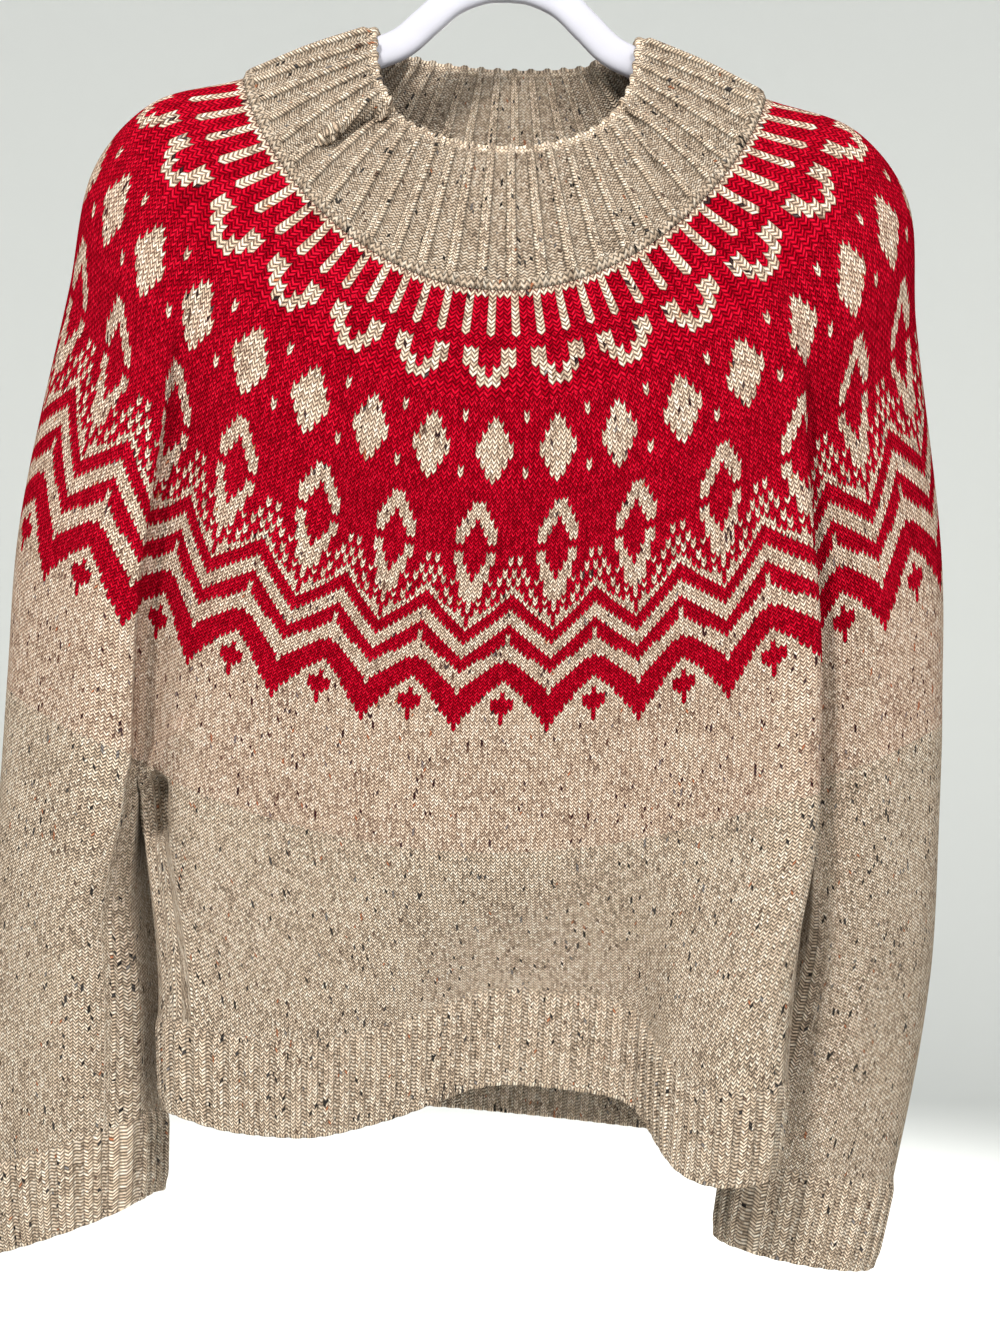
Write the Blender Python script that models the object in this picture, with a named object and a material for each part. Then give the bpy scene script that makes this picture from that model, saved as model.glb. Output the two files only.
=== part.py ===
"""Fair isle jumper with a round yoke, hung on a moulded plastic clothes hanger.

Metres, +Z up, the jumper's front towards -Y, "right" is +X.  The origin is the
inside top of the hanger's hook, where a rail carries it.  Every knitted piece is
a wall of cloth: rings of points are worked out from the tables below, lofted,
and given the wall's thickness on the inside.
"""

import math

import bmesh
import bpy
import numpy as np

# ---- driving dimensions --------------------------------------------------------

WALL = 0.003                # thickness of the knitted cloth
SEAM_GAP = 0.0004           # clearance between neighbouring pieces
HEM_GAP = 0.0009            # the same above the hem, whose ribs stand out under the body's folds
UNDERARM_GAP = 0.00024      # how far body and sleeve each stand back from the underarm
COLLAR_HEIGHT = 0.078
YOKE_DEPTH = 0.310          # collar seam to underarm, along the cloth

COLLAR_RIBS = 48
HEM_RIBS = 96
CUFF_RIBS = 24
RIB_RISE = 0.0018           # height of a rib over the gully beside it
RAISED_POINTS = 2           # points of each rib that stand up

# Rings of each piece: distances below the collar seam, shares of the body's length
# and distances below the underarm.
COLLAR_DOWNS = (-COLLAR_HEIGHT, -0.052, -0.026)
YOKE_DOWNS = (0.0, 0.024, 0.050, 0.080, 0.120, 0.165, 0.210, 0.260, YOKE_DEPTH)
BODY_LEVELS = (0.0, 0.15, 0.35, 0.55, 0.78, 1.0)
SLEEVE_DOWNS = (0.022, 0.050, 0.085, 0.130, 0.165)
CUFF_MIDDLE = 0.224

CURVE_POINTS = 1440         # points of an exact curve, before a ring is walked round it
LEAD_STEP = 0.004           # distance over which the cloth's own slope is read
COLLAR_PARTS = 2            # points of the collar to each point of the yoke
HEM_PARTS = 4               # points of the hem to each point of the body
CUFF_PARTS = 3              # points of a cuff's ring to each rib
YOKE_STITCH_COLUMNS = 96    # points round the yoke, 4 to each of its 24 pattern repeats
FRONT_COLUMNS = 30          # of those, points across the front, and across the back
SLEEVE_COLUMNS = 18         # of those, points over each sleeve
UNDERARM_COLUMNS = 6        # points along the underarm, between front and back

# Rings of the collar and yoke.  "down" is the distance below the collar seam along
# the cloth, "bow" and "round" are how squarely a ring turns from front to side in
# height and in depth, and "fold" is how deep the armhole folds press in.
RING_COLUMNS = ("down", "centre_x", "half_width", "z_side", "z_front", "z_back",
                "y_side", "y_front", "y_back", "bow", "round", "fold")
RINGS = [
    (-0.078, 0.000, 0.0730, -0.102, -0.180, -0.108, 0.000, -0.058, 0.050, 0.45, 0.90, 0.000),
    (-0.040, 0.000, 0.1080, -0.116, -0.218, -0.143, 0.000, -0.064, 0.050, 0.95, 0.90, 0.000),
    (0.000, 0.000, 0.1430, -0.132, -0.256, -0.180, 0.000, -0.069, 0.050, 1.40, 0.90, 0.000),
    (0.048, 0.000, 0.1930, -0.148, -0.297, -0.232, 0.000, -0.072, 0.053, 1.60, 0.88, 0.002),
    (0.090, 0.000, 0.2215, -0.182, -0.338, -0.282, 0.000, -0.073, 0.056, 1.65, 0.84, 0.006),
    (0.147, -0.002, 0.2320, -0.252, -0.392, -0.350, 0.002, -0.072, 0.058, 1.65, 0.78, 0.016),
    (0.232, -0.0035, 0.2525, -0.378, -0.470, -0.452, 0.005, -0.069, 0.060, 1.80, 0.72, 0.026),
    (0.310, -0.0035, 0.2565, -0.470, -0.545, -0.545, 0.006, -0.067, 0.060, 2.20, 0.70, 0.030),
]
ARMHOLE_FOLD_SPREAD = 0.020     # half-width of the armhole fold, along the ring
SIDE_SOFTNESS = 0.12            # rounds a ring where it turns over the shoulder
UNDERARM_SAG = 0.012            # how far the underarm hangs between front and back
UNDERARM_DROP = 0.0015          # clearance where three pieces meet in the armhole's fold
PLUMB = np.array([0.0, 0.0, -1.0])

# Rings of the body's lower edge: the top of the hem rib, then the hem itself.
HEM_COLUMNS = ("centre_x", "half_width", "z_side", "z_front", "z_back",
               "y_side", "y_front", "y_back")
HEM_RINGS = [
    (0.003, 0.1700, -0.650, -0.645, -0.655, -0.014, -0.066, 0.054),
    (0.003, 0.1660, -0.698, -0.694, -0.703, -0.016, -0.068, 0.052),
]
FRONT_SQUARE = 0.62         # how squarely the hem turns from its front to its sides
BACK_SQUARE = 1.00          # the back turns more gently, and leaves room for the sleeves
HEM_SLANT = -0.047          # how much lower the hem hangs for each metre towards +X
# Hanging folds of the body's front: where across the hem, how wide to the left and
# right, how far forward, how far the hem rises, and how squarely each side turns.
FOLD_COLUMNS = ("centre_x", "left", "right", "forward", "rise", "left_square", "right_square")
BODY_FOLDS = [
    (-0.105, 0.045, 0.045, 0.012, -0.005, 2, 2),
    (0.050, 0.076, 0.045, -0.017, 0.000, 2, 7),
    (0.048, 0.074, 0.047, 0.000, 0.030, 2, 4),
    (0.134, 0.041, 0.034, 0.014, 0.000, 7, 4),
    (0.152, 0.044, 0.040, 0.000, -0.014, 2, 4),
]
FOLD_FADE = 0.5             # power with which the folds fade out round to the sides
FOLD_GROWTH = 0.9           # power with which they grow down the body

# Ovals of each sleeve: distance below the underarm, centre, half-sizes, and how far
# the oval's plane tilts.  The sleeve ends and the cuff begins at CUFF_START.
OVAL_COLUMNS = ("down", "x", "y", "z", "half_width", "half_depth", "tilt")
SLEEVES = {
    "right": [
        (0.000, 0.2155, 0.008, -0.520, 0.0380, 0.045, 0.10),
        (0.060, 0.2180, 0.016, -0.580, 0.0385, 0.043, 0.06),
        (0.130, 0.2115, 0.030, -0.650, 0.0430, 0.036, 0.04),
        (0.200, 0.1960, 0.032, -0.722, 0.0470, 0.031, 0.12),
        (0.247, 0.1880, 0.030, -0.771, 0.0455, 0.027, 0.15),
    ],
    "left": [
        (0.000, -0.2220, 0.002, -0.520, 0.0380, 0.045, -0.10),
        (0.060, -0.2245, 0.004, -0.580, 0.0410, 0.040, -0.14),
        (0.130, -0.2215, 0.006, -0.648, 0.0465, 0.035, -0.22),
        (0.200, -0.2195, 0.006, -0.716, 0.0480, 0.032, -0.34),
        (0.247, -0.2170, 0.006, -0.763, 0.0465, 0.028, -0.38),
    ],
}
CUFF_START = 0.200
CUFF_EDGE = 0.247
SLEEVE_SETTLE = 0.085       # distance over which the armhole's shape becomes an oval

# The hanger: a flat oval bar that arches over the neck and slopes down both arms.
HANGER_BAR_HEIGHT = 0.017
HANGER_BAR_DEPTH = 0.010
HANGER_BAR_SIDES = 10
HANGER_END = 0.45           # size of the bar's ends beside its full section
HANGER_LINE = [             # centre line of one half, from the arch to the arm's end
    (0.000, -0.0755), (0.014, -0.0770), (0.030, -0.0840), (0.044, -0.0965),
    (0.058, -0.1090), (0.078, -0.1180), (0.110, -0.1325), (0.150, -0.1515),
    (0.178, -0.1650), (0.194, -0.1750),
]
HOOK_RADIUS = 0.0215
HOOK_THICKNESS = 0.0070
HOOK_START = math.radians(-25)  # where on its bow the hook leaves the stem
HOOK_TURN = math.radians(215)   # how far round its bow the hook goes
HOOK_POINTS = 20
HOOK_STEM = [(0.0, -0.0665), (0.0, -0.056), (0.003, -0.0465), (0.011, -0.0375)]

OATMEAL = (0.66, 0.54, 0.41, 1.0)
CRIMSON = (0.52, 0.004, 0.018, 1.0)
WHITE_PLASTIC = (0.80, 0.79, 0.86, 1.0)
KNIT_ROUGHNESS = 0.95
PLASTIC_ROUGHNESS = 0.35


# ---- rings ---------------------------------------------------------------------

def between_rows(rows, place):
    """All columns of a table at one value of its first column, on a smooth curve."""
    table = np.array(rows)
    slopes = np.gradient(table, table[:, 0], axis=0)
    low = int(np.clip(np.searchsorted(table[:, 0], place, side="right") - 1, 0, len(rows) - 2))
    span = table[low + 1, 0] - table[low, 0]
    part = (place - table[low, 0]) / span
    rise = part * part * (3 - 2 * part)
    lean_low = part * (1 - part) ** 2 * span
    lean_high = part * part * (part - 1) * span
    return (table[low] * (1 - rise) + table[low + 1] * rise
            + slopes[low] * lean_low + slopes[low + 1] * lean_high)


def soft_power(cosine, power):
    """|cosine| to a power, from 0 at the side to 1 at front and back, rounded at 0."""
    floor = SIDE_SOFTNESS ** power
    top = (1 + SIDE_SOFTNESS ** 2) ** (power / 2)
    return ((cosine ** 2 + SIDE_SOFTNESS ** 2) ** (power / 2) - floor) / (top - floor)


def spaced_evenly(points, count):
    """A closed ring of points walked round again in equal steps."""
    closed = np.vstack([points, points[:1]])
    walked = np.concatenate([[0], np.cumsum(np.linalg.norm(np.diff(closed, axis=0), axis=1))])
    stops = np.arange(count) * walked[-1] / count
    return np.column_stack([np.interp(stops, walked, closed[:, axis]) for axis in range(3)])


def knitted_ring(down, count=YOKE_STITCH_COLUMNS):
    """One knitted round of the collar or yoke, from the front centre towards +X."""
    row = dict(zip(RING_COLUMNS, between_rows(RINGS, down)))
    angle = np.linspace(0, 2 * math.pi, CURVE_POINTS, endpoint=False)
    cosine = np.cos(angle)
    front = cosine > 0
    reach = np.where(front, row["y_front"], row["y_back"]) - row["y_side"]
    drop = np.where(front, row["z_front"], row["z_back"]) - row["z_side"]
    x = row["centre_x"] + row["half_width"] * np.sin(angle)
    y = row["y_side"] + reach * np.abs(cosine) ** row["round"]
    z = row["z_side"] + drop * soft_power(cosine, row["bow"])
    ring = spaced_evenly(np.column_stack([x, y, z]), count)
    girth = np.linalg.norm(ring[1] - ring[0]) * count
    for corner, inward in zip(armhole_corners(count), (1, -1, -1, 1)):
        steps = (np.arange(count) - corner + count / 2) % count - count / 2
        press = np.exp(-(steps * girth / count / ARMHOLE_FOLD_SPREAD) ** 2)
        ring[:, 1] += inward * row["fold"] * press
    return ring


def ring_lead(down, count=YOKE_STITCH_COLUMNS):
    """The way the cloth runs down through one knitted round, at each of its points."""
    lead = knitted_ring(down + LEAD_STEP, count) - knitted_ring(down - LEAD_STEP, count)
    return lead / np.linalg.norm(lead, axis=1, keepdims=True)


def armhole_corners(count):
    """Places in a ring where body and sleeves part: front right, back right and so on."""
    scale = count / YOKE_STITCH_COLUMNS
    front = FRONT_COLUMNS / 2 * scale
    back = front + SLEEVE_COLUMNS * scale
    return [int(front), int(back), int(count - back), int(count - front)]


def underarm_line(start, end, columns):
    """Points across the underarm between two corners of the armhole, both included."""
    part = np.linspace(0, 1, columns + 1)[:, None]
    line = start * (1 - part) + end * part
    line[:, 2] -= UNDERARM_DROP + UNDERARM_SAG * np.sin(math.pi * part[:, 0])
    return line


def split_rings(ring):
    """The yoke's last round, parted into the tops of the body and of both sleeves."""
    front_right, back_right, back_left, front_left = armhole_corners(len(ring))
    right_underarm = underarm_line(ring[front_right], ring[back_right], UNDERARM_COLUMNS)
    left_underarm = underarm_line(ring[back_left], ring[front_left], UNDERARM_COLUMNS)
    part = np.array([UNDERARM_GAP, 0, 0])
    body = np.vstack([ring[:front_right], right_underarm - part, ring[back_right + 1:back_left],
                      left_underarm + part, ring[front_left + 1:]])
    over_right = ring[front_right + 1:back_right]
    over_left = ring[back_left + 1:front_left]
    right = np.vstack([over_right, right_underarm[::-1] + part])
    left = np.vstack([over_left, left_underarm[::-1] - part])
    outermost = SLEEVE_COLUMNS // 2 - 1
    return body, {"right": np.roll(right, -outermost, axis=0), "left": np.roll(left, -outermost, axis=0)}


def quarter_fractions(ring, quarters):
    """How far along its quarter of the ring each point lies, as a turn from 0 to 1."""
    steps = np.linalg.norm(np.roll(ring, -1, axis=0) - ring, axis=1)
    walked = np.concatenate([[0], np.cumsum(steps)])
    marks = [walked[place] for place in quarters] + [walked[-1]]
    return np.interp(walked[:-1], marks, np.linspace(0, 1, len(marks)))


def sampled(curve, turns):
    """Points of a closed curve, given for a full turn, at even walking in each quarter."""
    count = len(curve)
    quarters = [0, count // 4, count // 2, 3 * count // 4]
    own = quarter_fractions(curve, quarters)
    own = np.append(own, 1.0)
    closed = np.vstack([curve, curve[:1]])
    return np.column_stack([np.interp(turns, own, closed[:, axis]) for axis in range(3)])


def hem_ring(level, turns, folded):
    """A ring near the hem, level 0 at the top of the rib and 1 at its edge."""
    top, bottom = (np.array(row) for row in HEM_RINGS)
    row = dict(zip(HEM_COLUMNS, top + (bottom - top) * level))
    angle = np.linspace(0, 2 * math.pi, CURVE_POINTS, endpoint=False)
    cosine = np.cos(angle)
    front = cosine > 0
    reach = np.where(front, row["y_front"], row["y_back"]) - row["y_side"]
    drop = np.where(front, row["z_front"], row["z_back"]) - row["z_side"]
    x = row["half_width"] * np.sin(angle)
    y = row["y_side"] + reach * np.abs(cosine) ** np.where(front, FRONT_SQUARE, BACK_SQUARE)
    z = row["z_side"] + drop * np.abs(cosine) + HEM_SLANT * x
    weight = np.where(front, np.abs(cosine) ** FOLD_FADE, 0) * folded
    for fold in BODY_FOLDS:
        fold = dict(zip(FOLD_COLUMNS, fold))
        across = x - fold["centre_x"]
        left = np.abs(across / fold["left"]) ** (2 * fold["left_square"])
        right = np.abs(across / fold["right"]) ** (2 * fold["right_square"])
        swell = weight / (1 + np.where(across < 0, left, right))
        y = y - fold["forward"] * swell
        z = z + fold["rise"] * swell
    curve = np.column_stack([x + row["centre_x"], y, z])
    return sampled(curve, turns)


def oval_ring(side, down, turns):
    """One oval round of a sleeve or cuff, from its outer side on towards the armhole's seam."""
    row = dict(zip(OVAL_COLUMNS, between_rows(SLEEVES[side], down)))
    outward = 1 if side == "right" else -1
    angle = np.linspace(0, 2 * math.pi, CURVE_POINTS, endpoint=False)
    across = outward * row["half_width"] * np.cos(angle)
    y = row["y"] + outward * row["half_depth"] * np.sin(angle)
    z = row["z"] - row["tilt"] * across
    return sampled(np.column_stack([row["x"] + across, y, z]), turns)


# ---- cloth walls ---------------------------------------------------------------

def across_cloth(ring, lead):
    """Unit vectors out through the cloth, square to the ring and to its lead downwards."""
    around = np.roll(ring, -1, axis=0) - np.roll(ring, 1, axis=0)
    normals = np.cross(lead, around)
    normals /= np.linalg.norm(normals, axis=1, keepdims=True)
    inside = ((ring - ring.mean(axis=0)) * normals)[:, :2].sum() < 0
    return -normals if inside else normals


def cloth_wall(name, rings, normals, material, rise=0.0):
    """A closed wall from rings of points, top to bottom, thickened on its inside.

    normals are the rings' outward directions, and rise is how far each point of a
    ring stands out along them, for the ribs.
    """
    outer = [ring + normal * np.reshape(rise, (-1, 1)) for ring, normal in zip(rings, normals)]
    inner = [ring - normal * WALL for ring, normal in zip(rings, normals)]
    mesh = bmesh.new()
    walls = [[[mesh.verts.new(point) for point in ring] for ring in wall] for wall in (outer, inner)]
    columns = range(len(rings[0]))
    for wall in walls:
        for upper, lower in zip(wall, wall[1:]):
            for column in columns:
                mesh.faces.new((upper[column - 1], lower[column - 1], lower[column], upper[column]))
    for outer_edge, inner_edge in ((walls[0][0], walls[1][0]), (walls[0][-1], walls[1][-1])):
        for column in columns:
            mesh.faces.new((outer_edge[column - 1], outer_edge[column],
                            inner_edge[column], inner_edge[column - 1]))
    bmesh.ops.recalc_face_normals(mesh, faces=mesh.faces)
    bmesh.ops.triangulate(mesh, faces=mesh.faces)
    return finished(name, mesh, material)


def finished(name, mesh, material):
    """An object of the jumper's collection from a bmesh."""
    data = bpy.data.meshes.new(name)
    mesh.to_mesh(data)
    mesh.free()
    data.materials.append(material)
    thing = bpy.data.objects.new(name, data)
    collection.objects.link(thing)
    return thing


def material(name, colour, roughness):
    made = bpy.data.materials.new(name)
    made.use_nodes = True
    shader = made.node_tree.nodes["Principled BSDF"]
    shader.inputs["Base Color"].default_value = colour
    shader.inputs["Roughness"].default_value = roughness
    shader.inputs["Metallic"].default_value = 0.0
    return made


def finer(ring, parts):
    """A ring with each of its chords cut into equal parts."""
    after = np.roll(ring, -1, axis=0)
    shares = np.arange(parts)[None, :, None] / parts
    return (ring[:, None] * (1 - shares) + after[:, None] * shares).reshape(-1, 3)


def rib_rise(count, ribs):
    """Rise of each point of a ring with a number of ribs."""
    per_rib = count // ribs
    return np.array([RIB_RISE if place % per_rib < RAISED_POINTS else 0.0 for place in range(count)])


def eased(part):
    """A share of the way from 0 to 1, with a soft start and end."""
    return part * part * (3 - 2 * part)


# ---- the pieces ----------------------------------------------------------------

def make_collar(wool):
    seam = finer(knitted_ring(0.0) - ring_lead(0.0) * SEAM_GAP, COLLAR_PARTS)
    rings = [knitted_ring(down, len(seam)) for down in COLLAR_DOWNS]
    normals = [across_cloth(ring, ring_lead(down, len(seam))) for ring, down in zip(rings, COLLAR_DOWNS)]
    seam_normals = finer(across_cloth(knitted_ring(0.0), ring_lead(0.0)), COLLAR_PARTS)
    cloth_wall("collar", rings + [seam], normals + [seam_normals], wool, rib_rise(len(seam), COLLAR_RIBS))


def make_yoke(wool):
    rings = [knitted_ring(down) for down in YOKE_DOWNS]
    leads = [ring_lead(down) for down in YOKE_DOWNS[:-1]] + [PLUMB]
    normals = [across_cloth(ring, lead) for ring, lead in zip(rings, leads)]
    cloth_wall("yoke", rings, normals, wool)


def make_body(wool, top):
    quarter = FRONT_COLUMNS // 2 + UNDERARM_COLUMNS // 2
    turns = quarter_fractions(top, [0, quarter, 2 * quarter, 3 * quarter])
    plain = hem_ring(0.0, turns, folded=0.0)
    hanging = hem_ring(0.0, turns, folded=1.0)
    rings = []
    for level in BODY_LEVELS:
        ring = top + (plain - top) * eased(level) + (hanging - plain) * eased(level ** FOLD_GROWTH)
        ring[:, 2] = top[:, 2] + (hanging[:, 2] - top[:, 2]) * level
        rings.append(ring)
    rings[0] = rings[0] + PLUMB * SEAM_GAP
    normals = [across_cloth(ring, PLUMB) for ring in rings]
    cloth_wall("body", rings, normals, wool)
    return rings[-1], normals[-1], turns


def make_hem(wool, body_edge, edge_normals, turns):
    top = finer(body_edge, HEM_PARTS) + PLUMB * HEM_GAP
    next_turns = np.append(turns[1:], 1.0)
    shares = np.arange(HEM_PARTS) / HEM_PARTS
    fine_turns = (turns[:, None] * (1 - shares) + next_turns[:, None] * shares).reshape(-1)
    bottom = hem_ring(1.0, fine_turns, folded=1.0)
    normals = [finer(edge_normals, HEM_PARTS), across_cloth(bottom, PLUMB)]
    cloth_wall("hem_rib", [top, bottom], normals, wool, rib_rise(len(top), HEM_RIBS))


def make_sleeve(side, top, wool):
    turns = quarter_fractions(top, [0])
    rings = [top + PLUMB * SEAM_GAP]
    for down in (*SLEEVE_DOWNS, CUFF_START):
        oval = oval_ring(side, down, turns)
        hanging = top + PLUMB * down
        rings.append(hanging + (oval - hanging) * eased(min(1.0, down / SLEEVE_SETTLE)))
    cloth_wall("sleeve_" + side, rings, [across_cloth(ring, PLUMB) for ring in rings], wool)


def make_cuff(side, wool):
    count = CUFF_PARTS * CUFF_RIBS
    turns = np.arange(count) / count
    rings = [oval_ring(side, down, turns) for down in (CUFF_START + SEAM_GAP, CUFF_MIDDLE, CUFF_EDGE)]
    normals = [across_cloth(ring, PLUMB) for ring in rings]
    cloth_wall("cuff_" + side, rings, normals, wool, rib_rise(count, CUFF_RIBS))


def make_hanger(plastic):
    stops = np.linspace(0, 1, 3 * len(HANGER_LINE) - 2)
    places = np.linspace(0, 1, len(HANGER_LINE))
    rows = [(place, x, z) for place, (x, z) in zip(places, HANGER_LINE)]
    smooth = np.array([between_rows(rows, stop)[1:] for stop in stops])
    line = np.vstack([smooth[:0:-1] * (-1, 1), smooth])
    along = np.gradient(line, axis=0)
    along /= np.linalg.norm(along, axis=1, keepdims=True)
    across = np.column_stack([-along[:, 1], along[:, 0]])
    angle = np.linspace(0, 2 * math.pi, HANGER_BAR_SIDES, endpoint=False)
    taper = np.ones(len(line))
    taper[[0, -1]] = HANGER_END
    mesh = bmesh.new()
    rings = []
    for (x, z), (across_x, across_z), size in zip(line, across, taper):
        high = np.sin(angle) * HANGER_BAR_HEIGHT / 2 * size
        deep = np.cos(angle) * HANGER_BAR_DEPTH / 2 * size
        rings.append([mesh.verts.new((x + across_x * up, -out, z + across_z * up))
                      for up, out in zip(high, deep)])
    for ring, following in zip(rings, rings[1:]):
        for place in range(len(ring)):
            after = (place + 1) % len(ring)
            mesh.faces.new((ring[place], following[place], following[after], ring[after]))
    for end in (rings[0], rings[-1]):
        mesh.faces.new(end)
    bmesh.ops.recalc_face_normals(mesh, faces=mesh.faces)
    bmesh.ops.triangulate(mesh, faces=mesh.faces)
    finished("hanger", mesh, plastic)


def make_hook(plastic):
    centre_z = HOOK_THICKNESS / 2 - HOOK_RADIUS
    bow = [(HOOK_RADIUS * math.cos(turn), centre_z + HOOK_RADIUS * math.sin(turn))
           for turn in np.linspace(HOOK_START, HOOK_TURN, HOOK_POINTS)]
    path = HOOK_STEM + bow
    curve = bpy.data.curves.new("hook_line", "CURVE")
    curve.dimensions = "3D"
    curve.bevel_depth = HOOK_THICKNESS / 2
    curve.bevel_resolution = 2
    curve.use_fill_caps = True
    spline = curve.splines.new("POLY")
    spline.points.add(len(path) - 1)
    for point, (x, z) in zip(spline.points, path):
        point.co = (x, 0, z, 1)
    curve.materials.append(plastic)
    hook = bpy.data.objects.new("hanger_hook", curve)
    collection.objects.link(hook)


def build():
    wool = material("oatmeal_wool", OATMEAL, KNIT_ROUGHNESS)
    yoke_wool = material("crimson_wool", CRIMSON, KNIT_ROUGHNESS)
    plastic = material("white_plastic", WHITE_PLASTIC, PLASTIC_ROUGHNESS)
    make_collar(wool)
    make_yoke(yoke_wool)
    body_top, sleeve_tops = split_rings(knitted_ring(YOKE_DEPTH))
    body_edge, edge_normals, turns = make_body(wool, body_top)
    make_hem(wool, body_edge, edge_normals, turns)
    for side, top in sleeve_tops.items():
        make_sleeve(side, top, wool)
        make_cuff(side, wool)
    make_hanger(plastic)
    make_hook(plastic)


for old in list(bpy.data.objects):
    bpy.data.objects.remove(old)
collection = bpy.data.collections.new("fair_isle_jumper")
bpy.context.scene.collection.children.link(collection)
build()
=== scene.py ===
"""Looks of a fair isle jumper hung on a moulded plastic clothes hanger.

Metres, +Z up, the jumper's front towards -Y.  The origin is the inside top of the
hanger's hook.  Each knitted piece is a shell of cloth on the same rings as its solid.
"""

import math

import bmesh
import bpy
import numpy as np
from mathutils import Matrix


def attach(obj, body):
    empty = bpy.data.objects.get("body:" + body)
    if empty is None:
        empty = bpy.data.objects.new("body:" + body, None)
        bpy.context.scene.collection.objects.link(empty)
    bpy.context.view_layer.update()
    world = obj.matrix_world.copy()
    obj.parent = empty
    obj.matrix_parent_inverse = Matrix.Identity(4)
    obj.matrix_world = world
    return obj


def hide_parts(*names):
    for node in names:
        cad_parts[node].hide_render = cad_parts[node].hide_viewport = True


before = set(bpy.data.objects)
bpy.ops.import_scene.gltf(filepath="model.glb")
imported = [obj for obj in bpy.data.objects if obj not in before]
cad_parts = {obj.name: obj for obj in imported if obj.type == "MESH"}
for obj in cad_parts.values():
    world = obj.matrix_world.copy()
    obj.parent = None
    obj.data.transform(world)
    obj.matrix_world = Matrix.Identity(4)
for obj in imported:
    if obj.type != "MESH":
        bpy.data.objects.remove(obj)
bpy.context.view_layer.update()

# ---- studio --------------------------------------------------------------------
# A round pale backdrop with a floor under the hanging jumper, soft lights on
# stands round it, and the camera in front of its chest.

CAMERA_LENS = 51.6
CAMERA_PLACE = (0.00963, -1.05, -0.449)
CAMERA_ROLL = math.radians(-2.2)

camera_data = bpy.data.cameras.new("camera")
camera_data.lens = CAMERA_LENS
camera = bpy.data.objects.new("camera", camera_data)
camera.location = CAMERA_PLACE
camera.rotation_euler = (math.radians(90), CAMERA_ROLL, 0)
bpy.context.scene.collection.objects.link(camera)
bpy.context.scene.camera = camera

LIGHTS = [      # name, place, size, watts and colour
    ("key", (-0.85, -1.80, 0.85), 0.32, 76, (1.0, 0.97, 0.93)),
    ("front", (0.80, -1.90, 0.55), 0.60, 38, (1.0, 0.98, 0.96)),
    ("low", (0.90, -1.70, -0.95), 0.90, 11, (1.0, 0.98, 0.96)),
    ("back", (0.5, 2.3, 0.35), 1.6, 85, (1.0, 0.98, 0.96)),
]
LIT_POINT = (0.0, 0.0, -0.40)       # the middle of the chest, which every lamp faces
AIR_COLOUR = (0.93, 0.96, 1.0, 1.0)
AIR_STRENGTH = 0.50

for name, place, size, watts, colour in LIGHTS:
    lamp = bpy.data.lights.new(name, "AREA")
    lamp.size = size
    lamp.energy = watts
    lamp.color = colour
    stand = bpy.data.objects.new(name, lamp)
    stand.location = place
    aim = np.array(LIT_POINT) - np.array(place)
    stand.rotation_euler = (math.atan2(math.hypot(aim[0], aim[1]), -aim[2]), 0,
                            math.atan2(-aim[0], aim[1]))
    bpy.context.scene.collection.objects.link(stand)

world = bpy.data.worlds.new("studio_air")
world.use_nodes = True
air = world.node_tree.nodes["Background"]
air.inputs["Color"].default_value = AIR_COLOUR
air.inputs["Strength"].default_value = AIR_STRENGTH
bpy.context.scene.world = world
bpy.context.scene.view_settings.view_transform = "Standard"

WELD_DISTANCE = 1e-6


def woven(name, points, places=None, material=None, looped=False, sharp=()):
    """A piece through an array of points (rows, columns, xyz), from a bmesh grid.

    places are its UV coordinates.  The last column is joined to the first, and with
    looped the last row too.  The rows in sharp are hard edges.
    """
    rows, columns = points.shape[:2]
    mesh = bmesh.new()
    layer = mesh.loops.layers.uv.new("UVMap")
    bmesh.ops.create_grid(mesh, x_segments=columns - 1, y_segments=rows - 1, size=0.5)
    spot = {}
    for vert in mesh.verts:
        column = round((vert.co.x + 0.5) * (columns - 1))
        row = round((vert.co.y + 0.5) * (rows - 1))
        spot[vert.index] = (row, column)
        vert.co = points[row, column]
    for face in mesh.faces:
        face.smooth = True
        for loop in face.loops:
            if places is not None:
                loop[layer].uv = places[spot[loop.vert.index]]
    for edge in mesh.edges:
        row = spot[edge.verts[0].index][0]
        if row in sharp and row == spot[edge.verts[1].index][0]:
            edge.smooth = False
    seam = []
    for vert in mesh.verts:
        row, column = spot[vert.index]
        if column in (0, columns - 1) or looped and row in (0, rows - 1):
            seam.append(vert)
    bmesh.ops.remove_doubles(mesh, verts=seam, dist=WELD_DISTANCE)
    data = bpy.data.meshes.new(name)
    mesh.to_mesh(data)
    mesh.free()
    if material:
        data.materials.append(material)
    piece = bpy.data.objects.new(name, data)
    bpy.context.scene.collection.objects.link(piece)
    return piece


def new_material(name):
    """A new material, and the shader in it."""
    made = bpy.data.materials.new(name)
    made.use_nodes = True
    return made, made.node_tree.nodes["Principled BSDF"]


FLOOR = -1.30
FLOOR_DISC = 1.0            # radius of the floor's middle
STAGE_RADIUS = 3.6
STAGE_SWEEP = 0.9           # radius of the curve from floor to wall
STAGE_TOP = 2.6
SWEEP_STEPS = 12
STAGE_SIDES = 96
PAPER_COLOUR = (0.67, 0.685, 0.67, 1)
PAPER_ROUGHNESS = 0.9

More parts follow.
